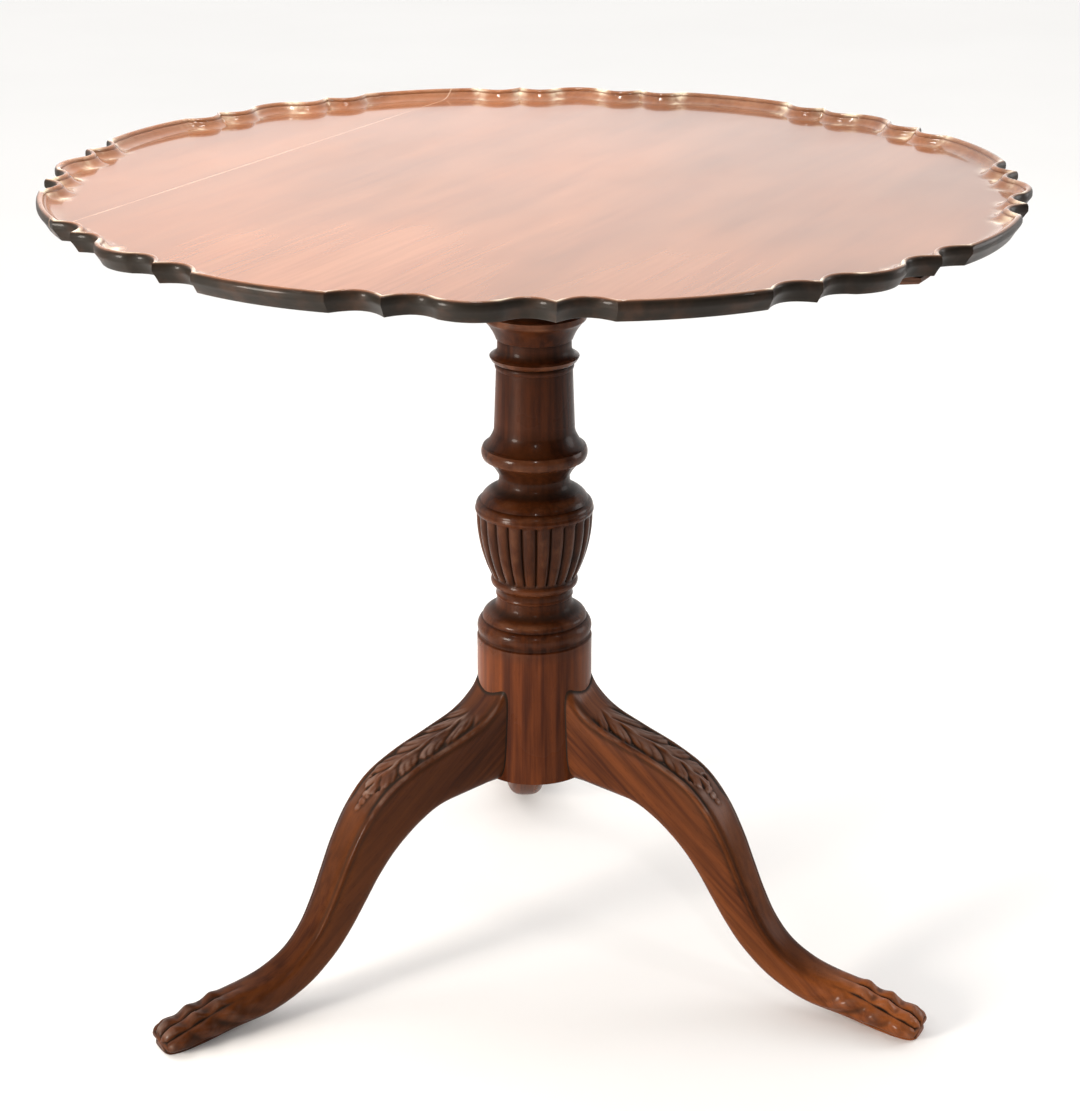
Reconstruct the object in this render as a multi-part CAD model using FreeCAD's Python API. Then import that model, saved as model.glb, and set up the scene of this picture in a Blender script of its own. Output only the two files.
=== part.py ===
import FreeCAD, Part
import os
from math import cos, sin, pi, radians, degrees, sqrt

Vector = FreeCAD.Vector
Rotation = FreeCAD.Rotation
upward = Vector(0, 0, 1)

# All lengths in millimetres, all angles in degrees.
# Origin: on the floor, on the axis of the column. Z points up.
table_height = 730.0

# Tray top: eight scallop groups around the rim, each a hump with two bites and a cusp on either side
top_radius = 416.0
rim_units = 8
rim_turn = 36.5
hump_angle = 3.2
cusp_angle = 8.6
long_angle = 14.5
hump_foot_depth = 6.0
bite_depth = 15.0
cusp_depth = 3.0
long_end_depth = 2.0
board_thickness = 22.0
dish_depth = 9.0
# Rim section from the underside over the crest to the dish: inset from the outline, drop below the
# crest, and the share of the scallop depth the outline keeps there
rim_section = [
    (70.0, board_thickness, 0.0),
    (6.5, 17.0, 1.0),
    (0.0, 7.0, 1.0),
    (0.6, 1.6, 1.0),
    (3.2, 0.0, 1.0),
    (6.6, 3.0, 1.0),
    (11.5, 7.0, 0.95),
    (20.0, dish_depth, 0.85),
]
narrow_board_width = 154.0

# Hinge: the top turns on two dowels at the end of the block that points to hinge_angle
hinge_angle = 150.0
seat_gap = 0.3
side_gap = 0.5
glue_gap = 0.1
running_gap = 0.06
block_half_width = 68.0
block_thickness = 64.0
block_catch_reach = 95.0
block_bevel = 9.0
pivot_offset = 75.0
pivot_depth = 13.0
dowel_radius = 6.5
dowel_socket_depth = 40.0
bearer_width = 28.0
bearer_depth = 25.0
bearer_end_depth = 5.0
bearer_end_inset = 36.0
bearer_taper = 125.0
bearer_chamfer = 2.5
bearer_screw_shares = [-0.74, -0.41, 0.41, 0.78]
bearer_screw_length = 24.0
bearer_screw_recess = 9.0
screw_head_radius = 4.6
screw_head_height = 3.0
screw_radius = 2.3

# Reeded urn of the column: grooves follow the urn's own curve between its foot and its lip
urn_foot_radius = 38.0
urn_lip_radius = 52.0
urn_rise = 61.5
urn_bulge = 3.6
reed_count = 24
groove_radius = 2.0
groove_end_share = 0.04

# Column: radius, rise above the step before and bulge of the curve that leads there. The rises are
# stretched alike to fill the height between the drum and the block
drum_radius = 52.0
drum_bottom = 182.0
drum_height = 128.0
tenon_radius = 22.0
turnings_below_urn = [
    (50.2, 1.0, 0.0),
    (50.2, 2.0, 0.0),
    (48.6, 13.5, 2.3),
    (47.0, 0.7, 0.0),
    (43.2, 6.8, 1.3),
    (41.6, 0.6, 0.0),
    (34.2, 7.9, -1.5),
    (33.4, 6.0, 0.0),
    (34.2, 0.5, 0.0),
    (34.2, 2.5, 0.4),
    (37.4, 8.5, -0.9),
    (38.4, 0.5, 0.0),
    (38.4, 6.0, 0.6),
    (urn_foot_radius, 1.0, 0.0),
]
turnings_above_urn = [
    (52.6, 1.0, 0.0),
    (52.2, 3.6, 0.4),
    (49.6, 5.6, 0.8),
    (48.2, 0.7, 0.0),
    (40.2, 8.6, 1.2),
    (38.6, 0.7, 0.0),
    (31.6, 8.2, -1.3),
    (31.2, 4.5, 0.0),
    (44.2, 16.5, -1.5),
    (45.8, 0.6, 0.0),
    (45.6, 10.6, 1.3),
    (43.4, 0.9, 0.0),
    (36.4, 12.0, -0.6),
    (35.8, 2.5, 0.0),
    (33.6, 55.7, 0.0),
    (34.3, 0.5, 0.0),
    (34.3, 4.5, 0.4),
    (33.8, 0.5, 0.0),
    (38.6, 4.4, 1.0),
    (39.3, 1.2, 0.1),
    (32.6, 6.4, -1.1),
    (32.4, 9.0, 0.0),
    (33.8, 0.8, 0.0),
    (43.8, 16.3, -1.0),
    (45.6, 3.5, 0.6),
    (45.6, 3.0, 0.0),
    (38.0, 4.0, -0.8),
    (38.0, 29.4, 0.0),
]

# Wedge that tightens the column's tenon in the block
wedge_depth = 34.0
wedge_top_thickness = 4.0
wedge_tip_thickness = 1.0

# Cabriole legs, evenly set around the drum
leg_names = ["leg_rear", "leg_front_left", "leg_front_right"]
first_leg_angle = 90.0
leg_reach = 386.0
leg_width = 56.0
# Upper edge's reach and height, lower edge's reach and height, and width, down the leg: reaches as shares
# of leg_reach, heights as shares of drum_bottom, widths as shares of leg_width
leg_section_shares = [
    (0.104, 1.604, 0.104, 1.003, 1.000),
    (0.137, 1.445, 0.137, 0.998, 0.982),
    (0.187, 1.352, 0.171, 0.988, 0.964),
    (0.264, 1.280, 0.233, 0.968, 0.946),
    (0.352, 1.209, 0.288, 0.939, 0.938),
    (0.430, 1.118, 0.333, 0.885, 0.929),
    (0.488, 0.984, 0.372, 0.818, 0.902),
    (0.531, 0.823, 0.409, 0.739, 0.857),
    (0.562, 0.672, 0.446, 0.635, 0.812),
    (0.591, 0.536, 0.479, 0.521, 0.768),
    (0.626, 0.409, 0.517, 0.393, 0.732),
    (0.672, 0.308, 0.562, 0.272, 0.714),
    (0.732, 0.243, 0.631, 0.146, 0.714),
    (0.797, 0.210, 0.720, 0.060, 0.723),
    (0.858, 0.190, 0.821, 0.027, 0.750),
    (0.915, 0.158, 0.904, -0.003, 0.777),
    (0.961, 0.100, 0.956, -0.014, 0.696),
]
# Squareness of the leg's section, 2 for an ellipse, and how much narrower it is below than above
leg_square_shares = [5.0, 5.0, 5.0, 5.0, 4.8, 4.5, 4.2, 4.0, 3.8, 3.6, 3.4, 3.2, 3.0, 2.8, 2.6, 2.4,
                     2.4]
leg_taper_share = 0.07
section_points = 20
toe_offset_shares = [-0.29, -0.098, 0.098, 0.29]
toe_setbacks = [7.0, 0.0, 0.0, 7.0]
toe_half_length = 27.0
toe_half_width = 6.9
toe_half_height = 15.5
toe_height = 10.0

# Sliding dovetail of each leg in the drum
dovetail_height = 78.0
dovetail_depth = 17.0
dovetail_root_width = 16.0
dovetail_tail_width = 23.0
dovetail_root = 2.0

# Iron spider: a hub under the drum, three arms that follow the legs' lower edges
spider_thickness = 2.5
spider_hub_radius = 40.0
spider_arm_width = 20.0
# Bend and tip of an arm: reach as a share of leg_reach, drop as a share of drum_bottom
spider_bend_shares = (0.145, 0.0075)
spider_tip_shares = (0.2694, 0.051)
spider_screw_shares = [0.2, 0.75]
spider_screw_length = 18.0

# Brass bolt under the top, and its keeper on the end face of the block
case_gap = 13.0
case_length = 34.0
case_half_width = 13.0
case_depth = 18.5
flange_half_width = 32.0
flange_thickness = 3.0
flange_screw_offset = 24.0
flange_screw_inset = 7.0
case_screw_length = 11.0
small_head_radius = 2.9
small_head_height = 1.9
small_screw_radius = 1.5
bolt_half_width = 8.0
bolt_thickness = 4.0
bolt_drop = 10.8
bolt_nose_gap = 1.0
bolt_length = 56.5
bolt_nose_radius = 3.0
knob_inset = 7.0
knob_radius = 6.5
knob_neck_radius = 3.0
knob_neck_length = 5.0
slot_room = 2.2
leaf_thickness = 0.6
leaf_half_width = 6.0
leaf_end_inset = 4.0
keeper_thickness = 2.5
keeper_half_width = 15.0
keeper_height = 34.0
keeper_lip = 7.0
keeper_lip_half_width = 10.0
keeper_screw_offset = 9.0
keeper_screw_drops = [15.0, 26.0]
keeper_screw_length = 16.0

# Cutting tools run past the surface they open by this much
overrun = 20.0

underside = table_height - board_thickness
block_top = underside - seat_gap
block_bottom = block_top - block_thickness
pivot_height = underside - pivot_depth
block_pivot_reach = pivot_offset + pivot_depth - seat_gap
bearer_offset = block_half_width + side_gap + bearer_width / 2
bolt_top = underside - bolt_drop
keeper_top = bolt_top + seat_gap + keeper_thickness
board_joint_offset = top_radius - narrow_board_width
bearer_reach = top_radius - bearer_end_inset
bearer_screw_places = [share * bearer_reach for share in bearer_screw_shares]
case_start = block_catch_reach + case_gap
bolt_nose = block_catch_reach + keeper_thickness + keeper_lip + bolt_nose_gap
bolt_tail = bolt_nose + bolt_length
drum_top = drum_bottom + drum_height
leg_angles = {name: first_leg_angle + 360.0 / len(leg_names) * i for i, name in enumerate(leg_names)}
urn_turning = (urn_lip_radius, urn_rise, urn_bulge)
turnings = turnings_below_urn + [urn_turning] + turnings_above_urn
turning_fit = (block_bottom - drum_top) / sum(rise for radius, rise, bulge in turnings)
urn_foot_height = drum_top + turning_fit * sum(rise for radius, rise, bulge in turnings_below_urn)
urn_lip_height = urn_foot_height + turning_fit * urn_rise


def polar(radius, angle, height):
    return Vector(radius * cos(radians(angle)), radius * sin(radians(angle)), height)


def turned(shape, angle):
    return shape.copy().rotate(Vector(0, 0, 0), upward, angle)


def on_hinge(shape):
    # Hinge pieces are drawn with the pivot side toward +X, then turned into place
    return turned(shape, hinge_angle)


def three_point_arc(start, middle, end):
    return Part.Arc(start, middle, end).toShape()


def block_between(low, high):
    size = high - low
    return Part.makeBox(size.x, size.y, size.z, low)


def prism(points, travel):
    # Flat closed outline pushed along a straight path
    return Part.Face(Part.makePolygon(points + points[:1])).extrude(travel)


def bulged_edge(start, end, bulge):
    # Line, or an arc that bulges to the right of the way from start to end in the XZ plane
    if bulge == 0:
        return Part.makeLine(start, end)
    way = end - start
    side = Vector(way.z, 0, -way.x).normalize()
    return three_point_arc(start, start + way * 0.5 + side * bulge, end)


def countersunk_screw(head, direction, head_radius, head_height, radius, length):
    # Tapered head flush at the head point, round shank along the direction
    cone = Part.makeCone(head_radius, radius, head_height, head, direction)
    return cone.fuse(Part.makeCylinder(radius, length, head, direction)).removeSplitter()


def spread(shape, places):
    return [shape.translated(place) for place in places]


def without(shape, tools):
    # Takes every tool that reaches the shape out of it
    for tool in tools:
        if shape.BoundBox.intersect(tool.BoundBox):
            shape = shape.cut(tool)
    return shape


def rim_outline(inset, drop, scallop_share):
    # Closed outline of the rim at one level of its section
    unit_angle = 360.0 / rim_units
    first_bite = (hump_angle + cusp_angle) / 2
    second_bite = (cusp_angle + long_angle) / 2
    corners = [
        (-hump_angle, hump_foot_depth), (hump_angle, hump_foot_depth), (cusp_angle, cusp_depth),
        (long_angle, long_end_depth), (unit_angle - long_angle, long_end_depth),
        (unit_angle - cusp_angle, cusp_depth),
    ]
    middles = [
        (0.0, 0.0), (first_bite, bite_depth), (second_bite, bite_depth), (unit_angle / 2, 0.0),
        (unit_angle - second_bite, bite_depth), (unit_angle - first_bite, bite_depth),
    ]

    def place(unit, corner):
        angle, depth = corner
        radius = top_radius - inset - scallop_share * depth
        return polar(radius, rim_turn + unit * unit_angle + angle, table_height - drop)

    starts = [place(unit, corner) for unit in range(rim_units) for corner in corners]
    tops = [place(unit, corner) for unit in range(rim_units) for corner in middles]
    ends = starts[1:] + starts[:1]
    return Part.Wire([three_point_arc(*points) for points in zip(starts, tops, ends)])


def tray_top():
    return Part.makeLoft([rim_outline(*level) for level in rim_section], True, True)


def top_boards(screws):
    # A wide and a narrow board, glued along a straight joint
    tray = without(tray_top(), screws)
    reach = top_radius + overrun
    narrow_side = on_hinge(block_between(Vector(board_joint_offset, -reach, underside - overrun),
                                         Vector(reach, reach, table_height + overrun)))
    return tray.cut(narrow_side), tray.common(narrow_side)


def bearer_blank(side):
    # Straight bearer, its lower edge tapered up toward both ends
    low = underside - bearer_depth
    end = underside - bearer_end_depth
    straight = bearer_reach - bearer_taper
    start = side * bearer_offset - bearer_width / 2
    outline = [
        Vector(-bearer_reach, start, underside), Vector(bearer_reach, start, underside),
        Vector(bearer_reach, start, end), Vector(straight, start, low),
        Vector(-straight, start, low), Vector(-bearer_reach, start, end),
    ]
    shape = prism(outline, Vector(0, bearer_width, 0))
    lower = [edge for edge in shape.Edges if edge.BoundBox.ZMax < underside - bearer_chamfer]
    return shape.makeChamfer(bearer_chamfer, lower)


def bearer(side, screws):
    start = Vector(pivot_offset, side * bearer_offset - bearer_width / 2 - overrun, pivot_height)
    hole = Part.makeCylinder(dowel_radius + running_gap, bearer_width + 2 * overrun, start, Vector(0, 1, 0))
    shape = bearer_blank(side).cut(hole)
    for place in bearer_screw_places:
        head = Vector(place, side * bearer_offset, underside - bearer_depth + bearer_screw_recess)
        shape = shape.cut(Part.makeCylinder(screw_head_radius, bearer_screw_recess + overrun, head, -upward))
    return without(on_hinge(shape), screws)


def bearer_screws():
    head = Vector(0, 0, underside - bearer_depth + bearer_screw_recess)
    screw = countersunk_screw(head, upward, screw_head_radius, screw_head_height, screw_radius,
                              bearer_screw_length)
    places = [Vector(place, side * bearer_offset, 0) for place in bearer_screw_places for side in (-1, 1)]
    return [on_hinge(shape) for shape in spread(screw, places)]


def dowel(side):
    # Round dowel glued into the side of the block, turning in the bearer
    start = Vector(pivot_offset, side * (block_half_width - dowel_socket_depth), pivot_height)
    length = dowel_socket_depth + side_gap + bearer_width
    return on_hinge(Part.makeCylinder(dowel_radius, length, start, Vector(0, side, 0)))


def hinge_block(dowels, screws):
    # Block on the column, rounded about the pivot so the top can turn past it
    radius = block_pivot_reach - pivot_offset
    start = -block_half_width
    catch_end = -block_catch_reach
    crown = Vector(pivot_offset, start, block_top)
    shoulder = Vector(block_pivot_reach, start, pivot_height)
    middle = Vector(pivot_offset + radius * sqrt(0.5), start, pivot_height + radius * sqrt(0.5))
    low_end = Vector(block_pivot_reach, start, block_bottom + block_bevel)
    low_start = Vector(block_pivot_reach - block_bevel, start, block_bottom)
    far_low = Vector(catch_end + block_bevel, start, block_bottom)
    far_up = Vector(catch_end, start, block_bottom + block_bevel)
    far_top = Vector(catch_end, start, block_top)
    straights = Part.makePolygon([shoulder, low_end, low_start, far_low, far_up, far_top, crown]).Edges
    outline = Part.Wire([three_point_arc(crown, middle, shoulder)] + straights)
    shape = Part.Face(outline).extrude(Vector(0, 2 * block_half_width, 0))
    mortise = Part.makeCylinder(tenon_radius + glue_gap, block_thickness + 2 * overrun,
                                Vector(0, 0, block_bottom - overrun))
    return without(on_hinge(shape.cut(mortise)), dowels + screws)


def tenon_wedge(half_length, gap):
    # Thin wedge driven down across the tenon
    half_top = wedge_top_thickness / 2 + gap
    half_tip = wedge_tip_thickness / 2 + gap
    tip = block_top - wedge_depth - gap
    outline = [
        Vector(-half_top, -half_length, block_top), Vector(half_top, -half_length, block_top),
        Vector(half_tip, -half_length, tip), Vector(-half_tip, -half_length, tip),
    ]
    return on_hinge(prism(outline, Vector(0, 2 * half_length, 0)))


def urn_groove():
    # Round groove bent along the circle that the urn's curve lies on, stopping short of foot and lip
    foot = Vector(urn_foot_radius, 0, urn_foot_height)
    lip = Vector(urn_lip_radius, 0, urn_lip_height)
    way = lip - foot
    radius = (way.Length ** 2 / 4 + urn_bulge ** 2) / (2 * urn_bulge)
    inward = Vector(-way.z, 0, way.x).normalize()
    centre = foot + way * 0.5 + inward * (radius - urn_bulge)
    span = degrees((lip - centre).getAngle(foot - centre))
    first = Rotation(Vector(0, -1, 0), span * groove_end_share).multVec(foot - centre)
    tangent = Vector(-first.z, 0, first.x)
    disc = Part.Face(Part.Wire(Part.makeCircle(groove_radius, centre + first, tangent)))
    return disc.revolve(centre, Vector(0, -1, 0), span * (1 - 2 * groove_end_share))


def dovetail(gap):
    # Tail that slides up into the drum from below, drawn toward +X
    inner = drum_radius - dovetail_depth - gap
    outer = drum_radius + dovetail_root
    half_root = dovetail_root_width / 2 + gap
    half_tail = dovetail_tail_width / 2 + gap
    outline = [
        Vector(inner, -half_tail, drum_bottom), Vector(outer, -half_root, drum_bottom),
        Vector(outer, half_root, drum_bottom), Vector(inner, half_tail, drum_bottom),
    ]
    return prism(outline, Vector(0, 0, dovetail_height + gap))


def column(wedge_slot):
    # Drum, turnings, and the round tenon that stands in the block
    profile = [(0, drum_bottom, 0), (drum_radius, drum_bottom, 0), (drum_radius, drum_top, 0)]
    for radius, rise, bulge in turnings:
        profile.append((radius, profile[-1][1] + turning_fit * rise, bulge))
    profile += [(tenon_radius, block_bottom, 0), (tenon_radius, block_top, 0), (0, block_top, 0)]
    points = [Vector(radius, 0, height) for radius, height, bulge in profile]
    edges = [bulged_edge(points[i - 1], points[i], profile[i][2]) for i in range(1, len(points))]
    edges.append(Part.makeLine(points[-1], points[0]))
    shape = Part.Face(Part.Wire(edges)).revolve(Vector(0, 0, 0), upward, 360)
    grooves = [turned(urn_groove(), 360.0 / reed_count * i) for i in range(reed_count)]
    sockets = [turned(dovetail(glue_gap), angle) for angle in leg_angles.values()]
    return without(shape, grooves + sockets + [wedge_slot])


def leg_section(shares, square):
    # Closed smooth outline between the leg's upper and lower edge, square or round in section
    high = Vector(shares[0] * leg_reach, 0, shares[1] * drum_bottom)
    low = Vector(shares[2] * leg_reach, 0, shares[3] * drum_bottom)
    half_way = (high - low) * 0.5
    middle = low + half_way
    points = []
    for i in range(section_points):
        angle = 2 * pi * (i + 0.5) / section_points
        across, along = cos(angle), sin(angle)
        side = abs(across) ** (2 / square) * (1 if across > 0 else -1)
        rise = abs(along) ** (2 / square) * (1 if along > 0 else -1)
        half_width = shares[4] * leg_width / 2 * (1 + leg_taper_share * (rise - 1))
        points.append(middle + half_way * rise + Vector(0, half_width * side, 0))
    curve = Part.BSplineCurve()
    curve.interpolate(points, PeriodicFlag=True)
    return Part.Wire(curve.toShape())


def toe(offset_share, setback):
    # Long rounded toe of the paw
    place = Vector(leg_reach - toe_half_length - setback, offset_share * leg_width, toe_height)
    shape = Part.makeSphere(toe_half_width)
    stretch = FreeCAD.Matrix()
    stretch.scale(toe_half_length / toe_half_width, 1, toe_half_height / toe_half_width)
    return shape.transformGeometry(stretch).translated(place)


def leg(holes):
    # One leg drawn toward +X: sweeping body, paw toes, flat sole and dovetail
    sections = [leg_section(*pair) for pair in zip(leg_section_shares, leg_square_shares)]
    toes = [toe(*pair) for pair in zip(toe_offset_shares, toe_setbacks)]
    shape = Part.makeLoft(sections, True, False).fuse(toes)
    floor_cut = block_between(Vector(0, -leg_width, -2 * overrun), Vector(leg_reach + overrun, leg_width, 0))
    drum = Part.makeCylinder(drum_radius + glue_gap, 2 * drum_top)
    return without(without(shape, [floor_cut, drum]).fuse(dovetail(0)), holes)


def arm_point(shares):
    # Point on the upper face of an arm drawn toward +X
    return Vector(shares[0] * leg_reach, 0, drum_bottom * (1 - shares[1]))


def iron_spider():
    # Hub under the drum and three arms that follow the legs' lower edges
    upper = [Vector(0, 0, drum_bottom), Vector(spider_hub_radius, 0, drum_bottom),
             arm_point(spider_bend_shares), arm_point(spider_tip_shares)]
    lower = [point - upward * spider_thickness for point in reversed(upper)]
    side = Vector(0, spider_arm_width / 2, 0)
    arm = prism([point - side for point in upper + lower], side * 2)
    hub = Part.makeCylinder(spider_hub_radius, spider_thickness, Vector(0, 0, drum_bottom), -upward)
    return hub.fuse([turned(arm, angle) for angle in leg_angles.values()]).removeSplitter()


def arm_screws_and_holes():
    # Screws through one arm drawn toward +X, square to the arm's own slope, and their holes in the leg
    bend = arm_point(spider_bend_shares)
    slope = arm_point(spider_tip_shares) - bend
    lean = Vector(-slope.z, 0, slope.x).normalize()
    head_height = spider_thickness - seat_gap
    heads = [bend - upward * spider_thickness + slope * share for share in spider_screw_shares]
    screws = [countersunk_screw(head, lean, screw_head_radius, head_height, screw_radius, spider_screw_length)
              for head in heads]
    holes = [Part.makeCylinder(screw_radius + glue_gap, spider_screw_length + glue_gap, head, lean)
             for head in heads]
    return screws, holes


def catch_case(screws):
    # Flanged case on the underside of the top, with a slot for the bolt and its leaf spring
    start = -case_start - case_length
    flange = block_between(Vector(start, -flange_half_width, underside - flange_thickness),
                           Vector(-case_start, flange_half_width, underside))
    body = block_between(Vector(start, -case_half_width, underside - case_depth),
                         Vector(-case_start, case_half_width, underside))
    half = bolt_half_width + glue_gap
    slot = block_between(Vector(start - overrun, -half, bolt_top - bolt_thickness - glue_gap),
                         Vector(overrun - case_start, half, bolt_top + slot_room))
    return without(on_hinge(flange.fuse(body).removeSplitter().cut(slot)), screws)


def catch_screws():
    head = Vector(0, 0, underside - flange_thickness)
    screw = countersunk_screw(head, upward, small_head_radius, small_head_height, small_screw_radius,
                              case_screw_length)
    near = -case_start - flange_screw_inset
    far = flange_screw_inset - case_start - case_length
    places = [Vector(place, side * flange_screw_offset, 0) for place in (near, far) for side in (-1, 1)]
    return [on_hinge(shape) for shape in spread(screw, places)]


def catch_leaf_spring():
    # Thin bowed strip between the slot's ceiling and the bolt
    first = leaf_end_inset - case_start - case_length
    last = -case_start - leaf_end_inset
    middle = (first + last) / 2
    ceiling = bolt_top + slot_room
    bow = bolt_top + glue_gap
    start = -leaf_half_width
    under = three_point_arc(Vector(first, start, ceiling - leaf_thickness), Vector(middle, start, bow),
                            Vector(last, start, ceiling - leaf_thickness))
    over = three_point_arc(Vector(first, start, ceiling), Vector(middle, start, bow + leaf_thickness),
                           Vector(last, start, ceiling))
    ends = [Part.makeLine(under.Vertexes[i].Point, over.Vertexes[i].Point) for i in (0, 1)]
    outline = Part.Wire(Part.__sortEdges__([under, over] + ends))
    return on_hinge(Part.Face(outline).extrude(Vector(0, 2 * leaf_half_width, 0)))


def catch_bolt(knob):
    # Flat bolt with a rounded nose
    bar = block_between(Vector(-bolt_tail, -bolt_half_width, bolt_top - bolt_thickness),
                        Vector(-bolt_nose, bolt_half_width, bolt_top))
    corners = [edge for edge in bar.Edges
               if all(abs(vertex.X + bolt_nose) < seat_gap for vertex in edge.Vertexes)
               and abs(edge.Vertexes[0].Z - edge.Vertexes[1].Z) > seat_gap]
    return on_hinge(bar.makeFillet(bolt_nose_radius, corners)).cut(knob)


def catch_knob():
    # Turned knob riveted through the tail of the bolt
    under = bolt_top - bolt_thickness
    neck_end = under - knob_neck_length
    neck = Part.makeCylinder(knob_neck_radius, knob_neck_length + bolt_thickness, Vector(0, 0, neck_end))
    ball = Part.makeSphere(knob_radius, Vector(0, 0, neck_end - knob_radius + knob_neck_radius / 2))
    shape = neck.fuse(ball).removeSplitter()
    return on_hinge(shape.translated(Vector(knob_inset - bolt_tail, 0, 0)))


def catch_keeper(screws):
    # Angle plate on the end of the block, its lip above the shot bolt
    face = -block_catch_reach
    plate = block_between(Vector(face - keeper_thickness, -keeper_half_width, keeper_top - keeper_height),
                          Vector(face, keeper_half_width, keeper_top))
    lip = block_between(Vector(face - keeper_thickness - keeper_lip, -keeper_lip_half_width,
                               keeper_top - keeper_thickness),
                        Vector(face, keeper_lip_half_width, keeper_top))
    return without(on_hinge(plate.fuse(lip).removeSplitter()), screws)


def keeper_screws():
    head = Vector(-block_catch_reach - keeper_thickness, 0, keeper_top)
    screw = countersunk_screw(head, Vector(1, 0, 0), small_head_radius, small_head_height, small_screw_radius,
                              keeper_screw_length)
    places = [Vector(0, side * keeper_screw_offset, -drop) for drop in keeper_screw_drops for side in (-1, 1)]
    return [on_hinge(shape) for shape in spread(screw, places)]


def build():
    bearer_screw_shapes = bearer_screws()
    catch_screw_shapes = catch_screws()
    keeper_screw_shapes = keeper_screws()
    leg_screws, leg_holes = arm_screws_and_holes()
    spider_screw_shapes = [turned(screw, angle) for angle in leg_angles.values() for screw in leg_screws]
    dowels = [dowel(-1), dowel(1)]
    knob = catch_knob()
    wide_board, narrow_board = top_boards(bearer_screw_shapes + catch_screw_shapes)
    one_leg = leg(leg_holes)
    pieces = {
        "top_board_wide": wide_board,
        "top_board_narrow": narrow_board,
        "bearer_back": bearer(-1, bearer_screw_shapes),
        "bearer_front": bearer(1, bearer_screw_shapes),
        "bearer_screws": Part.makeCompound(bearer_screw_shapes),
        "hinge_block": hinge_block(dowels, keeper_screw_shapes),
        "pivot_dowel_back": dowels[0],
        "pivot_dowel_front": dowels[1],
        "tenon_wedge": tenon_wedge(tenon_radius - glue_gap - side_gap, 0),
        "column": column(tenon_wedge(tenon_radius + overrun, glue_gap)),
        "iron_spider": without(iron_spider(), spider_screw_shapes),
        "spider_screws": Part.makeCompound(spider_screw_shapes),
        "catch_case": catch_case(catch_screw_shapes),
        "catch_screws": Part.makeCompound(catch_screw_shapes),
        "catch_leaf_spring": catch_leaf_spring(),
        "catch_bolt": catch_bolt(knob),
        "catch_knob": knob,
        "catch_keeper": catch_keeper(keeper_screw_shapes),
        "keeper_screws": Part.makeCompound(keeper_screw_shapes),
    }
    for name, angle in leg_angles.items():
        pieces[name] = turned(one_leg, angle)
    return pieces


os.makedirs("parts", exist_ok=True)
for name, shape in build().items():
    shape.exportStep("parts/" + name + ".step")
    print(name, len(shape.Solids), "solid(s)", round(shape.Volume), shape.isValid())
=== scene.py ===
import math
import bmesh
import bpy
import numpy as np
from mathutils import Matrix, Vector


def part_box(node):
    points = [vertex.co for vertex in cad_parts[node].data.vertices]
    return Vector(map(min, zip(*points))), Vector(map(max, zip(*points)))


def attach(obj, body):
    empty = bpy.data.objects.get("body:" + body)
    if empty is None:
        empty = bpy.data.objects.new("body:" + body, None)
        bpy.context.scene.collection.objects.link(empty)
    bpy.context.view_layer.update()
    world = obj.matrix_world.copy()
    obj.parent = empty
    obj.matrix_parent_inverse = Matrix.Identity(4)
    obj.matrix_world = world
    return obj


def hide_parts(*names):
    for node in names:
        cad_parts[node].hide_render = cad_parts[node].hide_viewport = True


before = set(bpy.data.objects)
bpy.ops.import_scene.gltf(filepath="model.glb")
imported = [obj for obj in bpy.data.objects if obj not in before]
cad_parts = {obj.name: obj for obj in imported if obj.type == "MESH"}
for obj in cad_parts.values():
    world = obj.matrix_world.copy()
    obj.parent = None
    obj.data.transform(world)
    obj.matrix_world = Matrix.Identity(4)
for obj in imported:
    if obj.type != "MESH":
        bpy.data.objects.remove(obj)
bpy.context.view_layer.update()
mm = 0.001
print("frame loaded:", len(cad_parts), "nodes")


# Node helpers

def setSocket(tree, socket, value):
    # value is linked if it is a socket, and set if it is a constant
    if isinstance(value, bpy.types.NodeSocket):
        tree.links.new(value, socket)
    else:
        socket.default_value = value


def addNode(tree, kind, settings=None, **sockets):
    # a shader node with its settings and its named sockets
    item = tree.nodes.new(kind)
    for key, value in (settings or {}).items():
        setattr(item, key, value)
    for key, value in sockets.items():
        setSocket(tree, item.inputs[key.replace("_", " ")], value)
    return item


def math2(tree, operation, first, second=0.0):
    item = addNode(tree, "ShaderNodeMath", {"operation": operation})
    setSocket(tree, item.inputs[0], first)
    setSocket(tree, item.inputs[1], second)
    return item.outputs[0]


def dotWith(tree, vector, direction):
    # how far vector reaches along a fixed direction
    item = addNode(tree, "ShaderNodeVectorMath", {"operation": "DOT_PRODUCT"})
    setSocket(tree, item.inputs[0], vector)
    setSocket(tree, item.inputs[1], direction)
    return item.outputs["Value"]


def mixColour(tree, factor, first, second, blend="MIX"):
    return addNode(tree, "ShaderNodeMixRGB", {"blend_type": blend}, Fac=factor, Color1=first,
                   Color2=second).outputs[0]


def shaded(tree, colour, tone):
    # colour times a grey of that tone
    grey = addNode(tree, "ShaderNodeCombineColor", Red=tone, Green=tone, Blue=tone).outputs[0]
    return mixColour(tree, 1.0, colour, grey, "MULTIPLY")


def spread(tree, value, low, high, toLow=0.0, toHigh=1.0):
    # value rescaled from low..high to toLow..toHigh, held at both ends
    return addNode(tree, "ShaderNodeMapRange", {"interpolation_type": "SMOOTHSTEP"}, Value=value,
                   From_Min=low, From_Max=high, To_Min=toLow, To_Max=toHigh).outputs[0]


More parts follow.
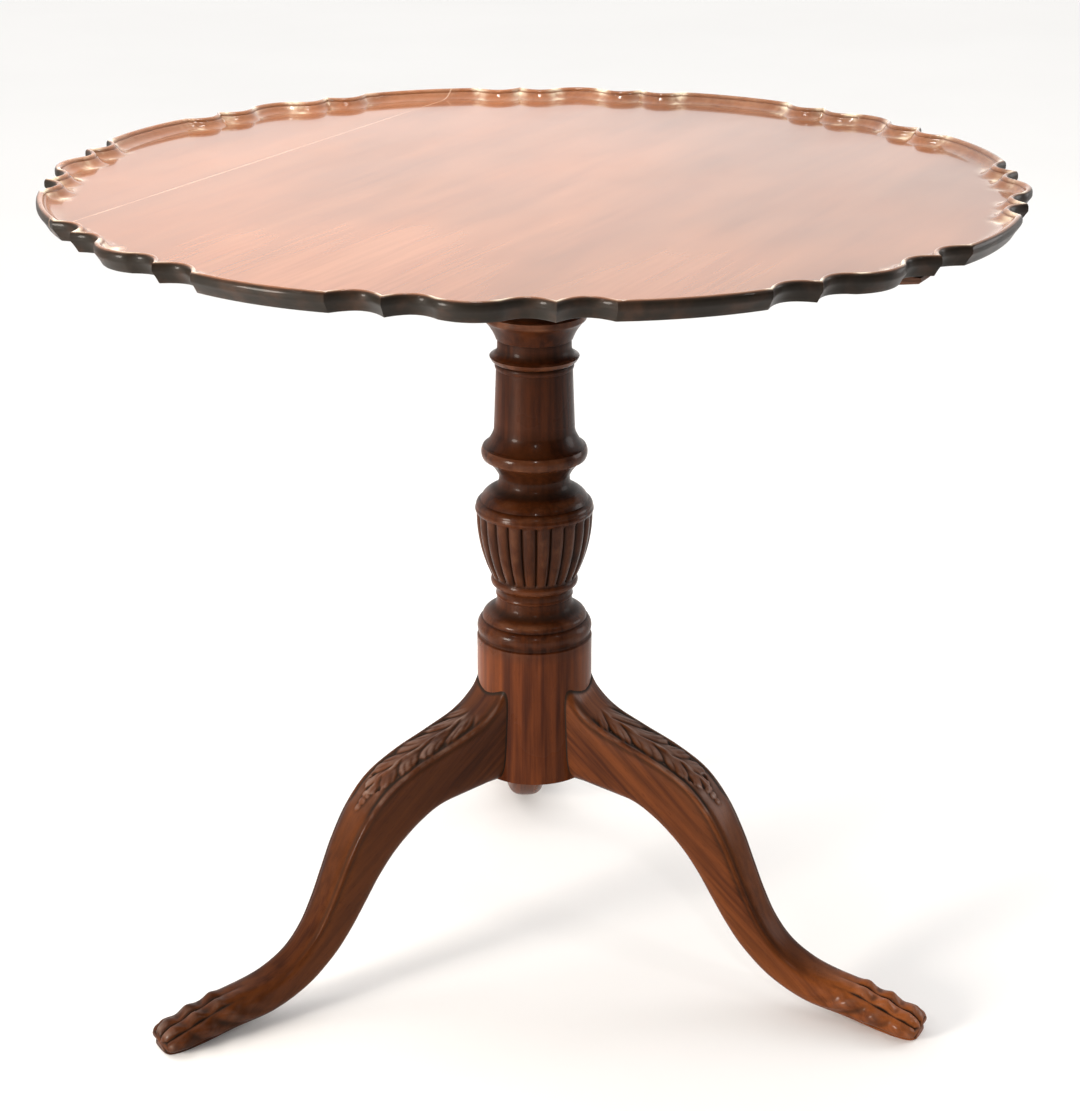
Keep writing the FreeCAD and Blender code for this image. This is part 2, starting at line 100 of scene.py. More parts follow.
def noise(tree, place, scale, stretch=(1, 1, 1), detail=3.0, seed=0.0):
    # soft random field, stretched along the axes of place
    scaled = addNode(tree, "ShaderNodeMapping", Vector=place, Scale=stretch).outputs[0]
    return addNode(tree, "ShaderNodeTexNoise", {"noise_dimensions": "4D"}, Vector=scaled, Scale=scale,
                   Detail=detail, W=seed).outputs["Fac"]


def newGroup(name, inputs, outputs):
    # empty node group with named sockets
    tree = bpy.data.node_groups.new(name, "ShaderNodeTree")
    for direction, sockets in (("INPUT", inputs), ("OUTPUT", outputs)):
        for label, kind in sockets.items():
            tree.interface.new_socket(label, in_out=direction, socket_type="NodeSocket" + kind)
    return tree, tree.nodes.new("NodeGroupInput").outputs, tree.nodes.new("NodeGroupOutput").inputs


def useGroup(tree, group, **sockets):
    return addNode(tree, "ShaderNodeGroup", {"node_tree": group}, **sockets).outputs


def newMaterial(name):
    # empty material, its tree and its shader
    material = bpy.data.materials.new(name)
    material.use_nodes = True
    return material, material.node_tree, material.node_tree.nodes["Principled BSDF"]


# Effects that several materials share. Grains are counts per metre along and across the timber. A fade is
# the stretch of noise that a mark comes in over, followed where needed by the values at its two ends

figure = dict(
    streakGrain=(9, 190, 190), streakFade=(0.32, 0.68), streakHeight=0.4,
    ribbonGrain=(2.2, 34, 12), ribbonFade=(0.4, 0.66),
    blotchGrain=(4, 9, 9), blotchFade=(0.3, 0.7, 0.78, 1.12),
    poreGrain=(110, 1500, 1500), poreFade=(0.6, 0.72),
)


def buildMahoganyFigure():
    # grain along X of Place: fine streaks, wide ribbons and blotches choose between three browns,
    # and short dark pores are cut into the height
    tree, given, put = newGroup(
        "mahoganyFigure",
        {"Place": "Vector", "Dark": "Color", "Middle": "Color", "Light": "Color", "Ribbon": "Float",
         "Pores": "Float", "Seed": "Float"},
        {"Color": "Color", "Height": "Float", "Streak": "Float"})
    place, seed = given["Place"], given["Seed"]
    streak = noise(tree, place, 1.0, figure["streakGrain"], 5.0, seed)
    ribbon = noise(tree, place, 1.0, figure["ribbonGrain"], 2.0, seed)
    blotch = noise(tree, place, 1.0, figure["blotchGrain"], 3.0, seed)
    pores = noise(tree, place, 1.0, figure["poreGrain"], 1.0, seed)
    colour = mixColour(tree, spread(tree, streak, *figure["streakFade"]), given["Dark"], given["Middle"])
    bands = math2(tree, "MULTIPLY", spread(tree, ribbon, *figure["ribbonFade"]), given["Ribbon"])
    colour = mixColour(tree, bands, colour, given["Light"])
    colour = shaded(tree, colour, spread(tree, blotch, *figure["blotchFade"]))
    poreMask = math2(tree, "MULTIPLY", spread(tree, pores, *figure["poreFade"]), given["Pores"])
    colour = mixColour(tree, poreMask, colour, given["Dark"])
    ridges = math2(tree, "MULTIPLY", streak, figure["streakHeight"])
    tree.links.new(colour, put["Color"])
    tree.links.new(math2(tree, "SUBTRACT", ridges, poreMask), put["Height"])
    tree.links.new(streak, put["Streak"])
    return tree


wear = dict(patchScale=60.0, grimeAndShadeFade=(0.2, 0.6, 0.9, 1.0), rubAndHighlightFade=(0.38, 0.68, 0.1, 1.0), rubPolish=0.35)


def buildWearGrimeAndPaintedLight():
    # dirt and painted shade gather where Recess is high, and the finish turns paler from rubbing and
    # painted highlights where Crest is high; noise breaks up both
    tree, given, put = newGroup(
        "wearGrimeAndPaintedLight",
        {"Color": "Color", "Place": "Vector", "Recess": "Float", "Crest": "Float", "Grime": "Color",
         "Rubbed": "Color", "Seed": "Float"},
        {"Color": "Color", "Rough": "Float"})
    patch = noise(tree, given["Place"], wear["patchScale"], detail=4.0, seed=given["Seed"])
    recess = math2(tree, "MULTIPLY", given["Recess"], spread(tree, patch, *wear["grimeAndShadeFade"]))
    crest = math2(tree, "MULTIPLY", given["Crest"], spread(tree, patch, *wear["rubAndHighlightFade"]))
    colour = mixColour(tree, crest, given["Color"], given["Rubbed"])
    colour = mixColour(tree, recess, colour, given["Grime"])
    polished = math2(tree, "MULTIPLY", crest, wear["rubPolish"])
    tree.links.new(colour, put["Color"])
    tree.links.new(math2(tree, "SUBTRACT", recess, polished), put["Rough"])
    return tree


polish = dict(
    smudgeScale=7.0, smudgeStretch=(1, 1.6, 1),
    scratchTurn=(0.3, 0.2, 0.9),                      # turns the first set of scratches, in radians
    firstGrain=(14, 900, 900), firstFade=(0.7, 0.74),
    secondGrain=(1100, 20, 1100), secondFade=(0.71, 0.75),
)


def buildPolishMarks():
    # cloudy smudges and two crossing sets of hairline scratches in a polished surface
    tree, given, put = newGroup("polishMarks", {"Place": "Vector", "Seed": "Float"},
                                {"Smudge": "Float", "Scratch": "Float"})
    place, seed = given["Place"], given["Seed"]
    smudge = noise(tree, place, polish["smudgeScale"], polish["smudgeStretch"], 5.0, seed)
    turned = addNode(tree, "ShaderNodeMapping", Vector=place, Rotation=polish["scratchTurn"]).outputs[0]
    first = spread(tree, noise(tree, turned, 1.0, polish["firstGrain"], 2.0, seed), *polish["firstFade"])
    second = spread(tree, noise(tree, place, 1.0, polish["secondGrain"], 2.0, seed), *polish["secondFade"])
    tree.links.new(smudge, put["Smudge"])
    tree.links.new(math2(tree, "MAXIMUM", first, second), put["Scratch"])
    return tree


ageing = dict(cloudScale=90.0, cloudFade=(0.3, 0.62), pitScale=900.0)


def buildMetalAgeing():
    # tarnish clouds over bare metal, with fine pitting
    tree, given, put = newGroup(
        "metalAgeing",
        {"Place": "Vector", "Bare": "Color", "Tarnish": "Color", "Amount": "Float", "Seed": "Float"},
        {"Color": "Color", "Rough": "Float", "Height": "Float", "Clean": "Float"})
    cloud = noise(tree, given["Place"], ageing["cloudScale"], detail=6.0, seed=given["Seed"])
    pits = noise(tree, given["Place"], ageing["pitScale"], seed=given["Seed"])
    mask = math2(tree, "MULTIPLY", spread(tree, cloud, *ageing["cloudFade"]), given["Amount"])
    tree.links.new(mixColour(tree, mask, given["Bare"], given["Tarnish"]), put["Color"])
    tree.links.new(mask, put["Rough"])
    tree.links.new(math2(tree, "MULTIPLY", pits, mask), put["Height"])
    tree.links.new(math2(tree, "SUBTRACT", 1.0, mask), put["Clean"])
    return tree


mahoganyFigure = buildMahoganyFigure()
wearGrimeAndPaintedLight = buildWearGrimeAndPaintedLight()
polishMarks = buildPolishMarks()
metalAgeing = buildMetalAgeing()
print("shared effects built")


# Materials

def rgb(red, green, blue):
    return (red, green, blue, 1.0)


# painted light and shade: the tray's browns paler and the column's darker than one mahogany would be
woodLooks = {
    # tray: its pale crest colour is painted glints over slight rubbing, its dark one dirt and painted shade
    "tray": dict(dark=rgb(0.22, 0.075, 0.0285), middle=rgb(0.265, 0.096, 0.0385),
                 light=rgb(0.305, 0.119, 0.0505), ribbon=0.5, pores=0.1, rough=0.16, gloss=0.1, coat=0.43,
                 coatRough=0.05, bump=0.03, seed=3.0, grime=rgb(0.012, 0.0085, 0.0055),
                 rubbedAndHighlight=rgb(0.70, 0.58, 0.42), turn=(0, 0, math.radians(-60))),
    # column: its dark colour is dirt and painted shade in the hollows and grooves
    "column": dict(dark=rgb(0.019, 0.0045, 0.0016), middle=rgb(0.054, 0.0135, 0.0036),
                   light=rgb(0.100, 0.027, 0.007), ribbon=0.6, pores=0.5, rough=0.30, gloss=0.05, coat=0.05,
                   coatRough=0.10, bump=0.22, seed=8.0, grime=rgb(0.008, 0.005, 0.0032),
                   rubbedAndHighlight=rgb(0.10, 0.037, 0.017), turn=(0, math.radians(90), 0)),
    # legs: their greyish crest colour is painted highlight and sheen, with dust and rubbing
    "leg": dict(dark=rgb(0.038, 0.010, 0.0034), middle=rgb(0.104, 0.028, 0.0075),
                light=rgb(0.180, 0.053, 0.0135), ribbon=0.6, pores=0.5, rough=0.34, gloss=0.02, coat=0.13,
                coatRough=0.2, bump=0.22, seed=14.0, grime=rgb(0.020, 0.013, 0.009),
                rubbedAndHighlight=rgb(0.20, 0.125, 0.094), turn=(0, math.radians(-42), 0)),
    "bearer": dict(dark=rgb(0.030, 0.011, 0.005), middle=rgb(0.075, 0.027, 0.012),
                   light=rgb(0.12, 0.05, 0.022), ribbon=0.4, pores=0.7, rough=0.6, gloss=0.2, coat=0.0,
                   coatRough=0.3, bump=0.4, seed=21.0, grime=rgb(0.010, 0.006, 0.004),
                   rubbedAndHighlight=rgb(0.15, 0.07, 0.035), turn=(0, 0, math.radians(-150))),
    "dowel": dict(dark=rgb(0.16, 0.085, 0.035), middle=rgb(0.30, 0.175, 0.08),
                  light=rgb(0.40, 0.25, 0.12), ribbon=0.3, pores=0.4, rough=0.55, gloss=0.3, coat=0.0,
                  coatRough=0.3, bump=0.3, seed=27.0, grime=rgb(0.03, 0.016, 0.008),
                  rubbedAndHighlight=rgb(0.42, 0.28, 0.15), turn=(0, 0, math.radians(-60))),
}
woodFinish = dict(
    smudgeGrime=(0.55, 0.8, 0.0, 0.5), streakRub=(0.6, 0.8, 0.0, 0.3),   # on pieces that aren't carved
    smudgeFade=(0.3, 0.75),
    smoothest=0.75, roughest=1.35,       # shares of a wood's own roughness
    grimeRough=0.3, leastRough=0.05,
    scratchDepth=0.25, bumpDistance=0.0004,
    grimeDull=0.84,                      # how far full grime takes the polish off
    coatIor=1.55,
)
# joint of the two boards: its direction from the axis in degrees, its distance and the half width of its
# glue line in metres, the share of the line that is solid, and how noise breaks it
jointLine = dict(direction=150.0, offset=0.262, halfWidth=0.0009, solid=0.3, breakScale=40.0,
                 breakFade=(0.3, 0.6, 0.35, 0.9), colour=rgb(0.46, 0.30, 0.21))


def glueLine(tree, place, joint):
    # mask of the pale glue line: distance from the joint's plane, broken by noise along its length
    angle = math.radians(joint["direction"])
    across = dotWith(tree, place, (math.cos(angle), math.sin(angle), 0))
    distance = math2(tree, "ABSOLUTE", math2(tree, "SUBTRACT", across, joint["offset"]))
    line = spread(tree, distance, joint["solid"] * joint["halfWidth"], joint["halfWidth"], 1.0, 0.0)
    broken = spread(tree, noise(tree, place, joint["breakScale"]), *joint["breakFade"])
    return math2(tree, "MULTIPLY", line, broken)


def woodMaterial(name, look, carved=False, local=False, joint=None):
    # polished wood; carved pieces bring recess, crest and tone of their own, local ones their own place in
    # the grain
    material, tree, shader = newMaterial(name)
    if local:
        place = addNode(tree, "ShaderNodeAttribute", {"attribute_name": "grainPlace"}).outputs["Vector"]
    else:
        place = addNode(tree, "ShaderNodeTexCoord").outputs["Object"]
    along = addNode(tree, "ShaderNodeMapping", Vector=place, Rotation=look["turn"]).outputs[0]
    timber = useGroup(tree, mahoganyFigure, Place=along, Dark=look["dark"], Middle=look["middle"],
                      Light=look["light"], Ribbon=look["ribbon"], Pores=look["pores"], Seed=look["seed"])
    marks = useGroup(tree, polishMarks, Place=along, Seed=look["seed"])
    colour = timber["Color"]
    if carved:
        # recess, crest and tone carry dirt and painted shade, rubbing and painted highlights, and painted
        # light and shade
        recess, crest, tone = (
            addNode(tree, "ShaderNodeAttribute", {"attribute_name": label}).outputs["Fac"]
            for label in ("recess", "crest", "tone"))
        colour = shaded(tree, colour, tone)
    else:
        recess = spread(tree, marks["Smudge"], *woodFinish["smudgeGrime"])
        crest = spread(tree, timber["Streak"], *woodFinish["streakRub"])
    wornAndPaintedLight = useGroup(tree, wearGrimeAndPaintedLight, Color=colour, Place=along, Recess=recess, Crest=crest,
                    Grime=look["grime"], Rubbed=look["rubbedAndHighlight"], Seed=look["seed"])
    colour = wornAndPaintedLight["Color"]
    if joint:
        colour = mixColour(tree, glueLine(tree, place, joint), colour, joint["colour"])
    tree.links.new(colour, shader.inputs["Base Color"])
    smoothest, roughest = look["rough"] * woodFinish["smoothest"], look["rough"] * woodFinish["roughest"]
    smudged = spread(tree, marks["Smudge"], *woodFinish["smudgeFade"], smoothest, roughest)
    rough = math2(tree, "ADD", smudged, math2(tree, "MULTIPLY", wornAndPaintedLight["Rough"], woodFinish["grimeRough"]))
    tree.links.new(math2(tree, "MAXIMUM", rough, woodFinish["leastRough"]), shader.inputs["Roughness"])
    scratches = math2(tree, "MULTIPLY", marks["Scratch"], woodFinish["scratchDepth"])
    height = math2(tree, "SUBTRACT", timber["Height"], scratches)
    bump = addNode(tree, "ShaderNodeBump", Strength=look["bump"], Distance=woodFinish["bumpDistance"],
                   Height=height)
    tree.links.new(bump.outputs[0], shader.inputs["Normal"])
    # grime dulls the coat, rubbed edges shine more
    dirt = math2(tree, "MULTIPLY", math2(tree, "MAXIMUM", wornAndPaintedLight["Rough"], 0.0), woodFinish["grimeDull"])
    clean = math2(tree, "SUBTRACT", 1.0, dirt)
    shine = math2(tree, "MULTIPLY", clean, math2(tree, "ADD", 1.0, crest))
    tree.links.new(math2(tree, "MULTIPLY", shine, look["coat"]), shader.inputs["Coat Weight"])
    shader.inputs["Specular IOR Level"].default_value = look["gloss"]
    shader.inputs["Coat Roughness"].default_value = look["coatRough"]
    shader.inputs["Coat IOR"].default_value = woodFinish["coatIor"]
    return material


metalLooks = {
    "iron": dict(bare=rgb(0.10, 0.095, 0.09), tarnish=rgb(0.035, 0.018, 0.011), amount=0.95, rough=0.45,
                 seed=5.0),
    "steelScrew": dict(bare=rgb(0.30, 0.29, 0.28), tarnish=rgb(0.07, 0.05, 0.04), amount=0.7, rough=0.35,
                       seed=9.0),
    "springSteel": dict(bare=rgb(0.36, 0.36, 0.38), tarnish=rgb(0.10, 0.09, 0.11), amount=0.5, rough=0.3,
                        seed=11.0),
    "brass": dict(bare=rgb(0.72, 0.49, 0.19), tarnish=rgb(0.20, 0.12, 0.045), amount=0.75, rough=0.28,
                  seed=17.0),
}
metalFinish = dict(bareRough=0.8, tarnishedRough=1.7, tarnishedMetallic=0.55, bump=0.35,
                   bumpDistance=0.0003)


def metalMaterial(name, look):
    # bare metal under clouds of tarnish, which are rougher and less metallic
    material, tree, shader = newMaterial(name)
    place = addNode(tree, "ShaderNodeTexCoord").outputs["Object"]
    aged = useGroup(tree, metalAgeing, Place=place, Bare=look["bare"], Tarnish=look["tarnish"],
                    Amount=look["amount"], Seed=look["seed"])
    rough = spread(tree, aged["Rough"], 0.0, 1.0, look["rough"] * metalFinish["bareRough"],
                   look["rough"] * metalFinish["tarnishedRough"])
    metallic = spread(tree, aged["Clean"], 0.0, 1.0, metalFinish["tarnishedMetallic"], 1.0)
    bump = addNode(tree, "ShaderNodeBump", Strength=metalFinish["bump"],
                   Distance=metalFinish["bumpDistance"], Height=aged["Height"])
    tree.links.new(aged["Color"], shader.inputs["Base Color"])
    tree.links.new(rough, shader.inputs["Roughness"])
    tree.links.new(metallic, shader.inputs["Metallic"])
    tree.links.new(bump.outputs[0], shader.inputs["Normal"])
    return material


materials = {
    "tray": woodMaterial("trayMahogany", woodLooks["tray"], carved=True, joint=jointLine),
    "column": woodMaterial("columnMahogany", woodLooks["column"], carved=True),
    "leg": woodMaterial("legMahogany", woodLooks["leg"], carved=True, local=True),
    "bearer": woodMaterial("bearerMahogany", woodLooks["bearer"]),
    "dowel": woodMaterial("dowelBeech", woodLooks["dowel"]),
}
materials.update({name: metalMaterial(name + "Metal", look) for name, look in metalLooks.items()})
print("materials built:", len(materials))


# Mesh helpers

def smoothStep(value, low, high):
    # 0 below low, 1 above high, an S between them
    share = np.clip((value - low) / (high - low), 0, 1)
    return share * share * (3 - 2 * share)


def bell(value, width):
    # 1 at zero, falling off as a bell curve
    return np.exp(-(value / width) ** 2)


def throughRows(table, count):
    # curve through the rows of a table: cubics whose slope at a row is half the step between its neighbours
    table = np.asarray(table, float)
    last = len(table) - 1
    place = np.linspace(0, last, count)
    index = np.minimum(place.astype(int), last - 1)
    share = (place - index)[:, None]
    before, here = table[np.maximum(index - 1, 0)], table[index]
    after, beyond = table[index + 1], table[np.minimum(index + 2, last)]
    return here + 0.5 * share * (after - before + share * (2 * before - 5 * here + 4 * after - beyond
                                 + share * (3 * (here - after) + beyond - before)))


def wrapSkin(rows, start, end):
    # rows of points around a closed shape, joined row to row by quads and to start and end by fans
    count, around = rows.shape[:2]
    ring = np.arange(around)
    following = np.roll(ring, -1)
    base = np.arange(count - 1)[:, None] * around
    quads = np.stack([base + ring, base + following, base + around + following, base + around + ring], -1)
    last = (count - 1) * around
    startFan = np.stack([following, ring, np.full(around, count * around)], -1)
    endFan = np.stack([last + ring, last + following, np.full(around, count * around + 1)], -1)
    points = np.concatenate([rows.reshape(-1, 3), [start, end]])
    return points, quads.reshape(-1, 4).tolist() + startFan.tolist() + endFan.tolist()


def addValues(mesh, name, values):
    # values at every point: one number or three
    kind, key = ("FLOAT", "value") if values.ndim == 1 else ("FLOAT_VECTOR", "vector")
    mesh.attributes.new(name, kind, "POINT").data.foreach_set(key, values.astype(np.float32).ravel())


def newMesh(name, points, faces, **values):
    mesh = bpy.data.meshes.new(name)
    mesh.from_pydata(points.tolist(), [], faces)
    for label, array in values.items():
        addValues(mesh, label, array)
    mesh.update()
    return mesh


def addPiece(name, mesh, material, body, node, sharp):
    # sharp is the angle in degrees past which an edge isn't smoothed
    mesh.shade_smooth()
    mesh.set_sharp_from_angle(angle=math.radians(sharp))
    mesh.materials.append(material)
    piece = bpy.data.objects.new(name, mesh)
    bpy.context.scene.collection.objects.link(piece)
    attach(piece, body)
    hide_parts(node)
    print(name, "made:", len(mesh.polygons), "faces")


# Tray top

tray = dict(
    radius=416 * mm,
    units=8,
    turn=36.5,                                   # degrees to the middle of the first hump
    angles=(-3.2, 3.2, 8.6, 14.5, 30.5, 36.4),   # where each curve of one unit starts, in degrees
    startDepths=(6, 6, 3, 2, 2, 3),              # scallop depth there, in millimetres
    middleDepths=(0, 15, 15, 0, 15, 15),         # and half way along the curve
    samples=16,                                  # points along each curve
    wear=0.8,                                    # degrees either side of a cusp where a pale painted glint lies
    plainRubAndHighlight=0.12, cuspHighlight=1.9,                  # how pale the crest is everywhere, from slight rubbing and painted highlight, and more at a cusp, a painted glint
    rightShadeTone=0.8, rightShadeFade=(-0.2, 0.33),           # tone of the painted shade over the right side, and where in X it sets in
    cutSlack=1e-7,                               # metres within which a point lies on the joint
    sharp=40,
    # inset from the outline, drop below the crest, share of the scallop, dirt and painted shade, and
    # rubbing and painted highlight (below zero: no polish)
    section=(
        (316, 22.0, 0.0, 0.5, -0.95), (120, 22.0, 0.0, 0.5, -0.95), (70, 22.0, 0.0, 0.55, -0.9),
        (40, 19.8, 0.5, 0.7, -0.7), (14, 17.7, 0.95, 0.95, -0.4), (8.5, 17.2, 1.0, 1.0, 0.0),
        (6.9, 17.0, 1.0, 1.0, 0.0), (6.2, 16.4, 1.0, 1.0, 0.0), (4.6, 13.6, 1.0, 1.0, 0.0),
        (2.8, 10.8, 1.0, 1.0, 0.0), (1.2, 8.6, 1.0, 1.0, 0.0), (0.2, 7.2, 1.0, 1.0, 0.0),
        (0.0, 6.4, 1.0, 1.0, 0.0), (0.0, 4.0, 1.0, 1.0, 0.0), (0.25, 2.4, 1.0, 1.0, 0.0),
        (0.9, 1.1, 1.0, 0.95, 0.0), (1.9, 0.3, 1.0, 0.4, 0.6), (3.2, 0.0, 1.0, 0.0, 1.0),
        (4.5, 0.3, 1.0, 0.0, 1.0), (5.6, 1.2, 1.0, 0.03, 0.8), (6.3, 2.5, 1.0, 0.2, 0.4),
        (6.6, 3.3, 1.0, 0.4, 0.1), (7.4, 3.5, 1.0, 0.2, 0.3), (8.4, 4.2, 0.99, 0.05, 0.7),
        (9.8, 5.7, 0.97, 0.0, 0.5), (11.4, 6.9, 0.95, 0.0, 0.3), (13.6, 7.9, 0.93, 0.0, 0.3),
        (16.4, 8.6, 0.90, 0.05, 0.5), (18.8, 8.9, 0.87, 0.12, 0.9), (20.0, 9.0, 0.85, 0.1, 0.7),
        (23.0, 9.0, 0.80, 0.02, 0.2), (30, 9.0, 0.7, 0.0, 0.0), (50, 9.0, 0.4, 0.0, 0.0),
        (90, 9.0, 0.0, 0.0, 0.0), (200, 9.0, 0.0, 0.0, 0.0), (316, 9.0, 0.0, 0.0, 0.0),
    ),
)


def scallopedOutline():
    # angle and depth around the rim, and how near a cusp is: in each curve the depth is the parabola
    # through its start, middle and end, and nearness falls off as a bell with the angle to the nearer end
    share = np.linspace(0, 1, tray["samples"], endpoint=False)[None, None, :]
    unitAngle = 360 / tray["units"]
    starts = np.array(tray["angles"])[None, :, None]
    ends = np.append(tray["angles"][1:], tray["angles"][0] + unitAngle)[None, :, None]
    first = np.array(tray["startDepths"])[None, :, None]
    middle = np.array(tray["middleDepths"])[None, :, None]
    last = np.roll(tray["startDepths"], -1)[None, :, None]
    unit = np.arange(tray["units"])[:, None, None] * unitAngle
    angle = tray["turn"] + unit + starts + share * (ends - starts)
    depth = (first * (1 - share) * (1 - 2 * share) + 4 * middle * share * (1 - share)
             + last * share * (2 * share - 1))
    near = bell(np.minimum(share, 1 - share) * (ends - starts), tray["wear"])
    return np.radians(angle).ravel(), (depth + 0 * unit).ravel() * mm, (near + 0 * unit).ravel()


def makeTray():
    # rim section carried round the scalloped outline: radius less inset less a share of the scallop depth
    angle, depth, near = scallopedOutline()
    section = np.array(tray["section"])
    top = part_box("top_board_wide")[1].z
    radius = tray["radius"] - section[:, :1] * mm - section[:, 2:3] * depth[None, :]
    height = np.broadcast_to(top - section[:, 1:2] * mm, radius.shape)
    rows = np.stack([radius * np.cos(angle), radius * np.sin(angle), height], -1)
    points, faces = wrapSkin(rows, (0, 0, height[0, 0]), (0, 0, height[-1, 0]))
    # dirt and painted shade on the underside and on the dark outer face of the rim
    recess = np.append(np.repeat(section[:, 3], len(angle)), (section[0, 3], 0))
    rubAndHighlight = section[:, 4:]
    # painted highlights: the crest paler all along, over slight rubbing, and palest at each cusp as a glint
    rubbedAndHighlight = np.where(rubAndHighlight > 0, rubAndHighlight * (tray["plainRubAndHighlight"] + tray["cuspHighlight"] * near[None, :]), rubAndHighlight)
    crest = np.append(rubbedAndHighlight, (rubAndHighlight[0, 0], 0))
    # painted shade: the right side of the top darker
    tone = 1 - (1 - tray["rightShadeTone"]) * smoothStep(points[:, 0], *tray["rightShadeFade"])
    return newMesh("trayTop", points, faces, recess=recess, crest=crest, tone=tone)


def cutBoard(whole, name, keepOutside):
    # one board: the tray cut along the glue joint, with the cut closed
    angle = math.radians(jointLine["direction"])
    normal = Vector((math.cos(angle), math.sin(angle), 0))
    work = bmesh.new()
    work.from_mesh(whole)
    everything = work.verts[:] + work.edges[:] + work.faces[:]
    bmesh.ops.bisect_plane(work, geom=everything, dist=tray["cutSlack"],
                           plane_co=normal * jointLine["offset"], plane_no=normal,
                           clear_inner=keepOutside, clear_outer=not keepOutside)
    openEdges = [edge for edge in work.edges if edge.is_boundary]
    bmesh.ops.holes_fill(work, edges=openEdges, sides=0)
    mesh = bpy.data.meshes.new(name)
    work.to_mesh(mesh)
    work.free()
    return mesh


wholeTray = makeTray()
for boardName, boardNode, keepOutside in (("trayBoardWide", "top_board_wide", False),
                                          ("trayBoardNarrow", "top_board_narrow", True)):
    board = cutBoard(wholeTray, boardName, keepOutside)
    addPiece(boardName, board, materials["tray"], "top", boardNode, tray["sharp"])
bpy.data.meshes.remove(wholeTray)


# Column

column = dict(
    around=288,                           # points in each ring, twelve to a reed
    curveStep=1.6, straightStep=12,       # most millimetres between rings
    reeds=24,
    reedDepth=3.2 * mm,
    reedRound=0.93,                       # 1 makes a reed half an ellipse
    reedStart=(0.01, 0.06),               # shares of the urn over which the reeds begin
    reedEnd=(0.005, 0.03),                # and end, from its top
    urnStep=16,                           # the step of the profile that the reeds lie on
    meanCount=2400, meanReach=30,         # heights of the running mean, and its reach each way
    hollowFull=2.4, hollowGrimeAndShade=0.7,      # millimetres inside the mean with most dirt and painted shade, and how much
    proudFull=2.0,                        # millimetres outside the mean that are rubbed palest
    grooveGrimeAndShade=0.95, groovePower=1.5, reedRub=0.55,
    # painted light on the drum, painted shade on the urn and on the mouldings over it
    drumPaintedLight=2.15, drumFade=(300, 316),
    urnPaintedShade=0.78,
    mouldingPaintedShade=0.72, mouldingFrom=430, mouldingTo=508, mouldingFade=6,
    sharp=35,
    # radius, height, bulge of the curve that leads there, in millimetres
    profile=(
        (52.0, 182.0, 0), (52.0, 309.2, 0), (51.5, 310.0, 0.2), (50.2, 310.8, 0), (50.2, 313.0, 0),
        (48.6, 326.5, 2.3), (47.0, 327.2, 0), (43.2, 334.0, 1.3), (41.6, 334.6, 0), (34.2, 342.5, -1.5),
        (33.4, 348.4, 0), (34.2, 348.9, 0), (34.2, 351.4, 0.6), (37.4, 359.9, -0.9), (38.4, 360.4, 0),
        (38.4, 366.4, 0.8), (38.0, 367.4, 0), (52.0, 428.8, 3.6), (52.6, 429.8, 0), (52.2, 433.4, 0.5),
        (49.6, 439.0, 0.8), (48.2, 439.7, 0), (40.2, 448.3, 1.2), (38.6, 449.0, 0), (31.6, 457.2, -1.3),
        (31.2, 461.7, 0), (44.2, 478.2, -1.5), (45.8, 478.8, 0), (45.6, 489.3, 1.4), (43.4, 490.2, 0),
        (36.4, 502.2, -0.6), (35.8, 504.7, 0), (33.6, 560.3, 0), (34.3, 560.8, 0), (34.3, 565.3, 0.5),
        (33.8, 565.8, 0), (38.6, 570.2, 1.0), (39.3, 571.4, 0.2), (32.6, 577.8, -1.1), (32.4, 586.8, 0),
        (33.8, 587.6, 0), (43.8, 603.9, -1.0), (45.6, 607.4, 0.7), (45.6, 610.4, 0), (38.0, 614.3, -0.8),
        (38.0, 643.7, 0), (22.0, 643.7, 0), (22.0, 707.4, 0),
    ),
)


def columnProfile():
    # radius and height along the turned profile, and the share of the urn's curve at each point (-1 off the
    # urn); a bulge pushes a straight step out by a parabola
    radii, heights, urn = [], [], []
    profile = column["profile"]
    for step, (start, end) in enumerate(zip(profile, profile[1:])):
        length = math.hypot(end[0] - start[0], end[1] - start[1])
        count = int(length / (column["curveStep"] if end[2] else column["straightStep"])) + 3
        share = np.linspace(0, 1, count)[:-1]
        side = np.array([end[1] - start[1], start[0] - end[0]]) / length
        swell = 4 * end[2] * share * (1 - share)
        radii.append(start[0] + share * (end[0] - start[0]) + swell * side[0])
        heights.append(start[1] + share * (end[1] - start[1]) + swell * side[1])
        urn.append(share if step == column["urnStep"] else np.full(count - 1, -1.0))
    radii.append([profile[-1][0]])
    heights.append([profile[-1][1]])
    urn.append([-1.0])
    return np.concatenate(radii), np.concatenate(heights), np.concatenate(urn)


def columnHollow(radius, height):
    # how far each point of the profile lies inside its own running mean, in millimetres
    reach = column["meanReach"]
    window = 2 * reach + 1
    steps = np.linspace(height[0], height[-1], column["meanCount"])
    outline = np.interp(steps, height, radius)
    mean = np.convolve(np.pad(outline, reach, "edge"), np.ones(window) / window, "valid")
    return np.interp(height, steps, mean - outline)


def columnPaintedLight(height, urn):
    # painted light and shade: the drum paler, the urn and the mouldings over it darker than the shaft
    low, high = column["drumFade"]
    drum = smoothStep(-height, -high, -low)
    fade = column["mouldingFade"]
    mouldings = smoothStep(height, column["mouldingFrom"], column["mouldingFrom"] + fade)
    mouldings = mouldings * smoothStep(column["mouldingTo"] - height, 0, fade)
    return (1 + (column["drumPaintedLight"] - 1) * drum + (column["urnPaintedShade"] - 1) * (urn >= 0)
            + (column["mouldingPaintedShade"] - 1) * mouldings)


